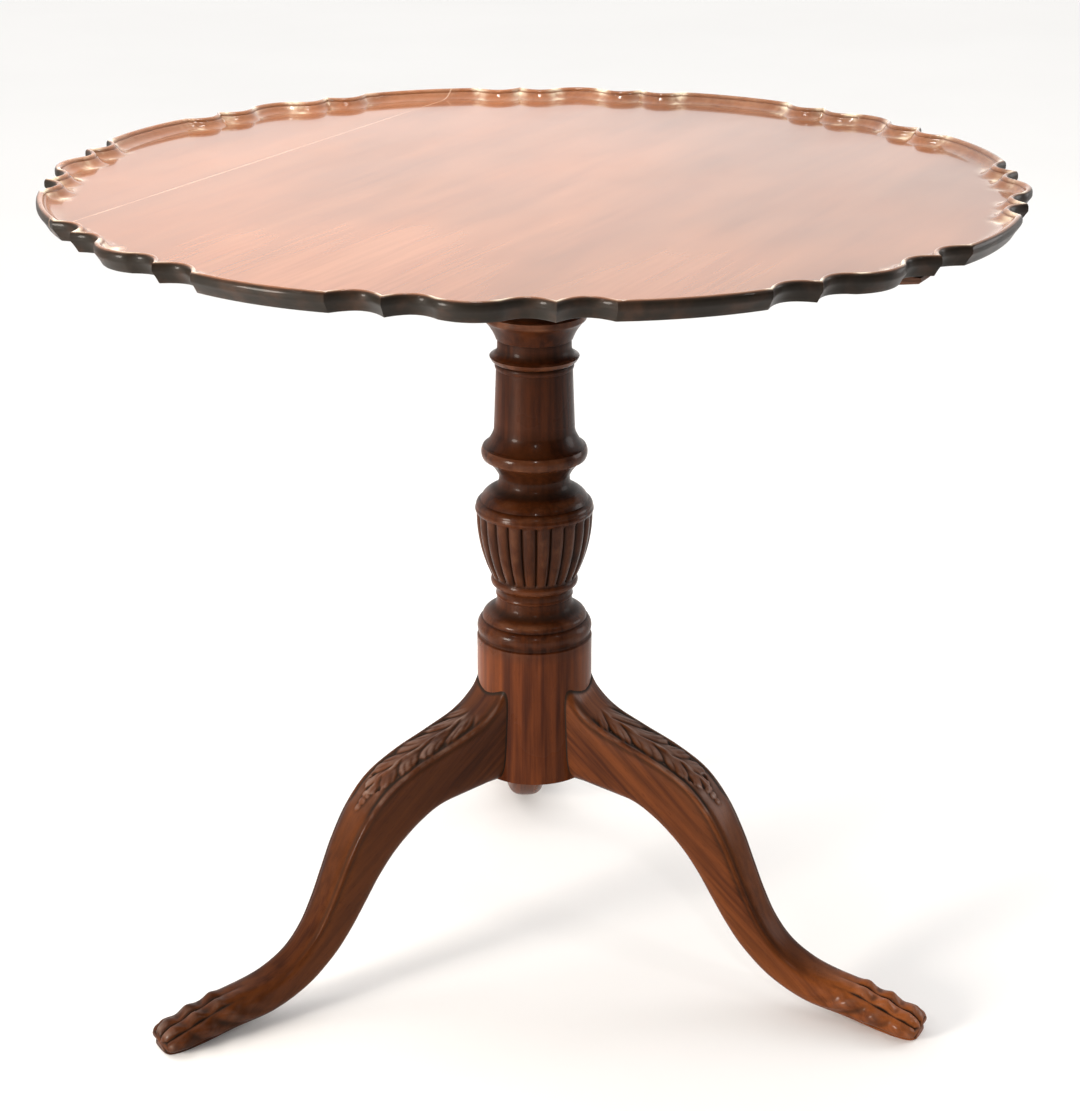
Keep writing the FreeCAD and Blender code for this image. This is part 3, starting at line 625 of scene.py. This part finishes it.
def makeColumn():
    # profile turned about Z; on the urn each reed is a flattened arc whose sides sink into a groove
    radius, height, urn = columnProfile()
    angle = np.linspace(0, 2 * np.pi, column["around"], endpoint=False)
    across = (angle * column["reeds"] / (2 * np.pi)) % 1 * 2 - 1
    rounded = 1 - np.sqrt(1 - column["reedRound"] * across ** 2)
    rounded /= rounded.max()
    ends = smoothStep(urn, *column["reedStart"]) * smoothStep(1 - urn, *column["reedEnd"])
    sink = np.where(urn < 0, 0, ends)[:, None]
    groove = sink * rounded[None, :]
    turned = radius[:, None] * mm - column["reedDepth"] * groove
    rows = np.stack([turned * np.cos(angle), turned * np.sin(angle),
                     np.broadcast_to(height[:, None] * mm, turned.shape)], -1)
    points, faces = wrapSkin(rows, (0, 0, height[0] * mm), (0, 0, height[-1] * mm))
    hollow = columnHollow(radius, height)[:, None]
    # dirt and painted shade in the hollows of the profile and the grooves between the reeds
    grime = np.clip(hollow / column["hollowFull"], 0, column["hollowGrimeAndShade"])
    recess = np.clip(grime + column["grooveGrimeAndShade"] * groove ** column["groovePower"], 0, 1)
    proud = np.clip(-hollow / column["proudFull"], 0, 1) * (1 - groove)
    crest = np.maximum(proud, column["reedRub"] * sink * (1 - rounded) ** 2)
    tone = np.repeat(columnPaintedLight(height, urn), column["around"])
    return newMesh("turnedColumn", points, faces, recess=np.append(recess, (0, 0)),
                   crest=np.append(crest, (0, 0)), tone=np.append(tone, (1, 1)))


columnMesh = makeColumn()
addPiece("turnedColumn", columnMesh, materials["column"], "base", "column", column["sharp"])


# Cabriole legs. A station is a place along the leg, counted in rows of the table below. Side and rise run
# from -1 to 1 across a section and up it

leg = dict(
    angles={"leg_rear": 90, "leg_front_left": 210, "leg_front_right": 330},
    rows=560,
    around=176,
    drum=52.0, seat=51.9,                  # radius of the drum, and of the root's end just inside it
    # upper edge's reach and height, lower edge's reach and height, width, squareness of the section
    stations=(
        (40, 292, 40, 182.5, 56, 5.0), (53, 263, 53, 181.6, 55, 5.0), (72, 246, 66, 179.8, 54, 5.0),
        (102, 233, 90, 176.2, 53, 5.0), (136, 220, 111.2, 170.9, 52.5, 4.8),
        (166, 203.5, 128.5, 161, 52, 4.5), (188.4, 179, 143.6, 148.9, 50.5, 4.2),
        (205, 149.8, 157.9, 134.5, 48, 4.0), (217, 122.3, 172.2, 115.6, 45.5, 3.8),
        (228.1, 97.6, 184.9, 94.8, 43, 3.6), (241.6, 74.4, 199.6, 71.5, 41, 3.4),
        (259.4, 56, 216.9, 49.5, 40, 3.2), (282.6, 44.2, 243.6, 26.6, 40, 3.0),
        (307.6, 38.2, 277.9, 10.9, 40.5, 2.8), (331.2, 34.6, 316.9, 4.9, 42, 2.6),
        (353.2, 28.8, 348.9, -0.5, 44.5, 2.5), (371, 23.0, 369.5, -2.5, 44.5, 2.6),
        (381, 19.0, 380.5, -2, 42.5, 2.6), (385.6, 14.5, 385.5, 0.5, 35, 2.5),
    ),
    taper=0.07,                            # how much narrower the section is below than above
    tip=0.4,                               # how far the toes' last point stands out
    blur=4,                                # grid steps each way of the mean that carving is compared with
    hollowFull=0.6, proudFull=0.7,         # millimetres under and over that mean with full dirt and painted shade, and full rubbing and painted highlight
    # the panel darker as dirt and painted shade and greyer as dust and painted sheen; nails paler as
    # painted highlight
    panelGrimeAndShade=0.15, panelDustAndSheen=0.25, nailHighlight=0.4,
    plainRubAndHighlight=0.35,                         # how much edges outside the panel are paler from rubbing and painted highlight
    seamWidth=2.2, seamFade=1.6,           # painted shade in the seam at the drum
    # painted shade: how dark the upper face is painted below the knee, how dull its polish, and where
    ridgeShadeTone=0.72, ridgeDull=0.85,
    ridgeRise=(0.5, 0.9), ridgeFrom=(5.5, 7.5), ridgeTo=13.5, ridgeFade=2,
    # painted light and shade: how light or dark each leg and its paw are painted, and the stations where
    # the one passes into the other
    tones={"leg_rear": (1.0, 1.0), "leg_front_left": (0.72, 0.62), "leg_front_right": (1.0, 1.8)},
    toneFade=(10.5, 14),
    plankShift=0.01,                       # metres per degree of turn, so that the legs' grain differs
    sharp=60,
)

# carving of the knee: heights and depths in millimetres, the ends of panel and beads in stations, rises as
# above, and the rest in shares of the panel's length or half width
knee = dict(
    start=1.7, end=6.1, endFade=0.12,      # stations between which the panel lies
    panelRise=(0.45, 0.8), leastRise=0.3, panelTo=0.86, panelFade=0.08,
    groundDepth=1.1, groundTo=0.84, groundFade=0.07,
    lobes=5.4, sweep=0.95, stagger=0.17, sway=0.14, swayAlong=9, swayAcross=3,
    lobeHeight=1.3, lobePower=0.6,
    fingers=3, fingerPower=0.7, fingerDepth=0.5, fingerFade=(0.15, 0.45),
    leafReach=0.60, lobeReach=0.14, fingerReach=0.08, edgeFade=(-0.02, 0.05),
    tipFrom=0.5, tipLength=0.34, tipReach=0.1, leafTo=0.87, leafFade=0.04,
    veinHeight=0.6, veinWidth=0.08,
    pitDepth=2.4, pitLength=0.17, pitAt=0.66, pitWidth=0.12, pitUneven=0.35, pitAlong=23, pitAcross=2,
    husks=3, huskZone=0.825, huskFrom=0.83, huskMiddle=0.852, huskStep=0.045, huskHeight=1.0,
    huskLength=0.027, huskWidth=0.22, huskDwindle=0.8,
    beadHeight=1.3, beadAt=0.96, beadWidth=0.1, beadRise=(0.4, 0.7),
    beadFrom=(0.6, 1.4), beadTo=12.5, beadFade=4.0,
)


def kneeCarving(station, side, rise):
    # height of the carving over the plain leg, in millimetres, and where the carved panel is: a bead along
    # each upper edge, a sunk ground between them and a leaf on it. Its lobes leave the middle vein almost
    # along it and bend outward, out of step on the two sides and swayed by a slow wave. Each ends in
    # fingers, a drilled pit sits where two lobes meet, and dwindling husks end the leaf
    upper = smoothStep(rise, *knee["panelRise"])
    across = np.abs(side / np.maximum(np.abs(rise), knee["leastRise"]))
    hand = np.where(side < 0, -1.0, 1.0)
    run = (station - knee["start"]) / (knee["end"] - knee["start"])
    zone = smoothStep(run, 0.0, knee["endFade"]) * smoothStep(1 - run, 0.0, knee["endFade"])
    # leaf outline
    tip = np.sqrt(np.clip(1 - np.clip((run - knee["tipFrom"]) / knee["tipLength"], 0, 1) ** 2, 0, 1))
    bend = knee["sweep"] * (1 - (1 - np.clip(across, 0, 1)) ** 2)
    sway = knee["sway"] * np.sin(knee["swayAlong"] * run + knee["swayAcross"] * hand * across)
    lobe = (run * knee["lobes"] - bend + knee["stagger"] * hand + sway) % 1
    swell = np.sin(np.pi * lobe) ** knee["lobePower"]
    tines = np.abs(np.sin(np.pi * knee["fingers"] * lobe)) ** knee["fingerPower"]
    edge = knee["leafReach"] + knee["lobeReach"] * swell + knee["fingerReach"] * tines
    edge = edge * (knee["tipReach"] + (1 - knee["tipReach"]) * tip)
    leaf = smoothStep(edge - across, *knee["edgeFade"])
    leaf = leaf * smoothStep(knee["leafTo"] - run, 0.0, knee["leafFade"])
    # leaf surface
    grooves = knee["fingerDepth"] * (1 - tines) * smoothStep(across, *knee["fingerFade"])
    blade = knee["lobeHeight"] * swell * (1 + lobe) / 2 - grooves
    vein = knee["veinHeight"] * bell(across, knee["veinWidth"])
    meeting = np.minimum(lobe, 1 - lobe) / knee["pitLength"]
    beside = (across - knee["pitAt"] * tip) / knee["pitWidth"]
    pits = knee["pitDepth"] * np.exp(-meeting ** 2 - beside ** 2)
    wave = np.sin(knee["pitAlong"] * run + knee["pitAcross"] * hand)
    pits = pits * (1 - knee["pitUneven"] + knee["pitUneven"] * wave)
    # husks past the leaf's tip
    count = np.clip(np.floor((run - knee["huskFrom"]) / knee["huskStep"]), 0, knee["husks"] - 1)
    along = (run - knee["huskMiddle"] - knee["huskStep"] * count) / knee["huskLength"]
    wide = across / (knee["huskWidth"] * knee["huskDwindle"] ** count)
    husk = knee["huskHeight"] * np.sqrt(np.clip(1 - along ** 2 - wide ** 2, 0, 1))
    husk = np.where((run > knee["huskZone"]) & (run < 1), husk, 0)
    # ground, beads and the whole
    ground = -knee["groundDepth"] * smoothStep(knee["groundTo"] - across, 0.0, knee["groundFade"])
    panel = upper * (zone * (ground + leaf * (blade + vein - pits)) + husk)
    fade = smoothStep(station, *knee["beadFrom"])
    fade = fade * smoothStep(knee["beadTo"] - station, 0.0, knee["beadFade"])
    bead = bell(across - knee["beadAt"], knee["beadWidth"]) * smoothStep(rise, *knee["beadRise"])
    inPanel = upper * zone * smoothStep(knee["panelTo"] - across, 0.0, knee["panelFade"])
    return panel + knee["beadHeight"] * bead * fade, inPanel


# carving of the paw: heights and depths in millimetres, turns in degrees from the top of the section
paw = dict(
    toeTurn=125, soleFrom=145, soleFade=25,
    innerToe=0.31,                         # share of the turn that an inner toe takes
    toeFrom=13.2, toeFull=15.6, grooveDepth=3.2, toeRound=0.5,
    # station, spread and height of each knuckle and of the dips between them
    knuckles=((13.3, 0.26, 1.0), (14.1, 0.28, 3.2), (14.6, 0.2, -1.6), (15.1, 0.28, 3.4),
              (15.7, 0.22, -1.8), (16.4, 0.36, 1.8)),
    knuckleBow=0.7,                        # stations that the outer toes' knuckles lie further back
    nailAt=17.2, nailLength=0.5, nailHeight=0.5, nailFade=(0.45, 0.95),
)


def pawCarving(station, side, rise):
    # height of the paw's carving in millimetres, and its nails. Round the section from the top, grooves
    # part four rounded toes, the outer ones wider. Knuckles stand on each, those of the outer toes further
    # back, and a nail swells softly at its tip
    turn = np.degrees(np.arctan2(side, rise))
    share = np.clip(turn / paw["toeTurn"], -1, 1)
    inner, part = paw["innerToe"], np.abs(share)
    toe = np.abs(np.sin(np.pi * np.where(part < inner, part / inner, 1 + (part - inner) / (1 - inner))))
    upper = smoothStep(paw["soleFrom"] - np.abs(turn), 0, paw["soleFade"])
    deep = paw["grooveDepth"] * smoothStep(station, paw["toeFrom"], paw["toeFull"])
    carved = -deep * (1 - toe ** paw["toeRound"])
    for at, width, tall in paw["knuckles"]:
        carved = carved + tall * bell(station - (at - paw["knuckleBow"] * share ** 2), width) * toe
    nail = bell(station - paw["nailAt"], paw["nailLength"]) * smoothStep(toe, *paw["nailFade"])
    return upper * (carved + paw["nailHeight"] * nail), upper * nail


def legSurface():
    # plain leg on a grid of stations and angles: superellipses in polar form between the upper and the
    # lower edge. Gives points in millimetres, outward normals, stations, sides and rises, and the two ends
    table = throughRows(leg["stations"], leg["rows"])
    station = np.linspace(0, len(leg["stations"]) - 1, leg["rows"])[:, None]
    angle = np.linspace(0, 2 * np.pi, leg["around"], endpoint=False)[None, :]
    power = table[:, 5:6]
    reach = (np.abs(np.cos(angle)) ** power + np.abs(np.sin(angle)) ** power) ** (-1 / power)
    side, rise = reach * np.cos(angle), reach * np.sin(angle)
    middle = (table[:, :2] + table[:, 2:4]) / 2
    half = (table[:, :2] - table[:, 2:4]) / 2
    halfWidth = table[:, 4:5] / 2 * (1 + leg["taper"] * (rise - 1))
    points = np.stack([middle[:, :1] + half[:, :1] * rise, halfWidth * side,
                       middle[:, 1:] + half[:, 1:] * rise], -1)
    around = np.roll(points, -1, 1) - np.roll(points, 1, 1)
    normal = np.cross(around, np.gradient(points, axis=0))
    normal /= np.linalg.norm(normal, axis=2, keepdims=True) + 1e-9
    start = (leg["seat"], 0, middle[0, 1])
    end = (table[-1, 0] + leg["tip"], 0, middle[-1, 1])
    return points, normal, station, side, rise, start, end


def makeLeg(name, turn, legLightTone, pawLightTone):
    # carving moves the plain leg's points along the normal, the sole is flattened on the floor and the root
    # ends just under the drum's surface, where a dark seam of painted shade shows
    points, normal, station, side, rise, start, end = legSurface()
    kneeHeight, panel = kneeCarving(station, side, rise)
    pawHeight, nails = pawCarving(station, side, rise)
    carving = kneeHeight + pawHeight
    points = points + normal * carving[..., None]
    points[..., 2] = np.maximum(points[..., 2], 0)
    inside = np.sqrt(np.maximum(leg["seat"] ** 2 - points[..., 1] ** 2, 0))
    points[..., 0] = np.maximum(points[..., 0], inside)
    # dirt and painted shade where the carving lies under its own running mean, rubbing and painted
    # highlight where it stands over it
    window = range(-leg["blur"], leg["blur"] + 1)
    mean = sum(np.roll(carving, (a, b), (0, 1)) for a in window for b in window) / len(window) ** 2
    fromAxis = np.hypot(points[..., 0], points[..., 1])
    # painted shade in the seam where the root meets the drum
    seam = smoothStep(leg["drum"] + leg["seamWidth"] - fromAxis, 0, leg["seamFade"])
    hollow = np.clip((mean - carving) / leg["hollowFull"] + leg["panelGrimeAndShade"] * panel + seam, 0, 1)
    edges = (carving - mean) / leg["proudFull"] * (leg["plainRubAndHighlight"] + (1 - leg["plainRubAndHighlight"]) * panel)
    proud = np.clip(edges + leg["panelDustAndSheen"] * panel + leg["nailHighlight"] * nails - seam, 0, 1)
    ridge = smoothStep(rise, *leg["ridgeRise"]) * smoothStep(station, *leg["ridgeFrom"])
    ridge = ridge * smoothStep(leg["ridgeTo"] - station, 0, leg["ridgeFade"])
    proud = proud - leg["ridgeDull"] * ridge
    tone = 1 - (1 - leg["ridgeShadeTone"]) * ridge
    tone = tone * (legLightTone + (pawLightTone - legLightTone) * smoothStep(station, *leg["toneFade"]))
    # leg along X turned to its place
    skin, faces = wrapSkin(points, start, end)
    skin = skin * mm
    cosTurn, sinTurn = math.cos(math.radians(turn)), math.sin(math.radians(turn))
    placed = np.stack([skin[:, 0] * cosTurn - skin[:, 1] * sinTurn,
                       skin[:, 0] * sinTurn + skin[:, 1] * cosTurn, skin[:, 2]], -1)
    shift = np.array([turn * leg["plankShift"], 0, 0])
    return newMesh(name, placed, faces, recess=np.append(hollow, (0, 0)), crest=np.append(proud, (0, 0)),
                   tone=np.append(tone, (1, 1)), grainPlace=skin + shift)


for node, turn in leg["angles"].items():
    pieceName = "carved" + "".join(word.capitalize() for word in node.split("_"))
    legMesh = makeLeg(pieceName, turn, *leg["tones"][node])
    addPiece(pieceName, legMesh, materials["leg"], "base", node, leg["sharp"])


# Finishes of the pieces that stay as modelled

finishes = {
    "bearer": ("bearer_back", "bearer_front", "hinge_block"),
    "dowel": ("pivot_dowel_back", "pivot_dowel_front", "tenon_wedge"),
    "iron": ("iron_spider",),
    "steelScrew": ("bearer_screws", "spider_screws"),
    "springSteel": ("catch_leaf_spring",),
    "brass": ("catch_case", "catch_screws", "catch_bolt", "catch_knob", "catch_keeper", "keeper_screws"),
}
for finish, names in finishes.items():
    for name in names:
        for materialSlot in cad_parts[name].material_slots:
            materialSlot.material = materials[finish]
print("finishes set")


# Floor, light and camera

stage = dict(
    floorSize=40.0, floorColour=rgb(0.95, 0.95, 0.945), floorRough=0.8,
    mottleScale=1.2, mottleFade=(0.2, 0.8, 0.97, 1.0),
    skyColour=rgb(1.0, 0.985, 0.97),
    brightSide=(-0.12, 0.9, 0.5), brightFade=(-0.55, 0.75), dim=0.1, bright=1.4,
)


def makeFloor():
    # wide square of pale studio floor, mottled very slightly
    half = stage["floorSize"] / 2
    corners = np.array([(-half, -half, 0), (half, -half, 0), (half, half, 0), (-half, half, 0)])
    mesh = newMesh("studioFloor", corners, [(0, 1, 2, 3)])
    floor = bpy.data.objects.new("studioFloor", mesh)
    bpy.context.scene.collection.objects.link(floor)
    material, tree, shader = newMaterial("paleFloor")
    place = addNode(tree, "ShaderNodeTexCoord").outputs["Object"]
    tone = spread(tree, noise(tree, place, stage["mottleScale"]), *stage["mottleFade"])
    tree.links.new(shaded(tree, stage["floorColour"], tone), shader.inputs["Base Color"])
    shader.inputs["Roughness"].default_value = stage["floorRough"]
    mesh.materials.append(material)


# place and aim in metres, power in watts; mirrored False means no bright disc of a large box in the polish
glintColour = (1.0, 0.97, 0.94)
softBoxes = {
    "overTray": dict(place=(-0.05, 0, 2.3), aim=(-0.02, -0.05, 0.7), size=0.5, power=4.7,
                     colour=(1.0, 0.95, 0.90), spread=90, mirrored=False),
    "aboveLeft": dict(place=(-0.6, 0.1, 1.3), aim=(-0.3, 0, 0.7), size=0.5, power=4.4,
                      colour=(1.0, 0.94, 0.86), mirrored=False),
    "glintOver": dict(place=(-0.05, 0, 2.3), aim=(0, 0, 0.7), size=0.26, power=7, colour=glintColour),
    "rightSide": dict(place=(3.0, 0.8, 1.0), aim=(0, 0, 0.4), size=1.4, power=26, colour=(1.0, 0.98, 0.97)),
    "frontKey": dict(place=(-2.1, -1.36, 0.75), aim=(0, 0, 0.25), size=0.7, power=68,
                     colour=(1.0, 0.93, 0.84)),
    "glintMiddle": dict(place=(0.05, -2.3, 1.75), aim=(0, 0, 0.7), size=0.14, power=7, colour=glintColour),
    "glintLeft": dict(place=(-1.6, -1.3, 2.0), aim=(0, 0, 0.7), size=0.14, power=4, colour=glintColour),
    "glintRight": dict(place=(1.6, -1.3, 2.0), aim=(0, 0, 0.7), size=0.14, power=4, colour=glintColour),
}


def makeWorld():
    # white studio, bright behind and overhead and dim in front: strength follows the direction looked in,
    # but the camera itself sees at least an even white
    world = bpy.data.worlds.new("studioWorld")
    world.use_nodes = True
    tree = world.node_tree
    direction = addNode(tree, "ShaderNodeTexCoord").outputs["Generated"]
    toward = dotWith(tree, direction, stage["brightSide"])
    strength = spread(tree, toward, *stage["brightFade"], stage["dim"], stage["bright"])
    seen = addNode(tree, "ShaderNodeLightPath").outputs["Is Camera Ray"]
    background = tree.nodes["Background"]
    background.inputs["Color"].default_value = stage["skyColour"]
    tree.links.new(math2(tree, "MAXIMUM", strength, seen), background.inputs["Strength"])
    bpy.context.scene.world = world


def makeLights():
    # round area lights that the camera doesn't see, each turned to its aim
    for name, box in softBoxes.items():
        data = bpy.data.lights.new(name, "AREA")
        data.shape = "DISK"
        data.size = box["size"]
        data.energy = box["power"]
        data.color = box["colour"]
        data.spread = math.radians(box.get("spread", 180))
        light = bpy.data.objects.new(name, data)
        light.location = box["place"]
        light.visible_camera = False
        light.visible_glossy = box.get("mirrored", True)
        facing = Vector(box["aim"]) - Vector(box["place"])
        light.rotation_euler = facing.to_track_quat("-Z", "Y").to_euler()
        bpy.context.scene.collection.objects.link(light)


# the shift is 5.5 pixels of the photograph's 1111
camera = dict(place=(-0.0736, -2.0773, 1.178), turn=(69.11, 0, -2.03), lens=80.42, sensor=36,
              shift=5.5 / 1111)


def makeCamera():
    data = bpy.data.cameras.new("photoCamera")
    data.lens = camera["lens"]
    data.sensor_width = camera["sensor"]
    data.sensor_fit = "AUTO"
    data.shift_x = camera["shift"]
    view = bpy.data.objects.new("photoCamera", data)
    view.location = camera["place"]
    view.rotation_euler = [math.radians(angle) for angle in camera["turn"]]
    bpy.context.scene.collection.objects.link(view)
    bpy.context.scene.camera = view


makeFloor()
makeWorld()
makeLights()
makeCamera()
bpy.context.scene.view_settings.view_transform = "Standard"
print("stage, lights and camera set")
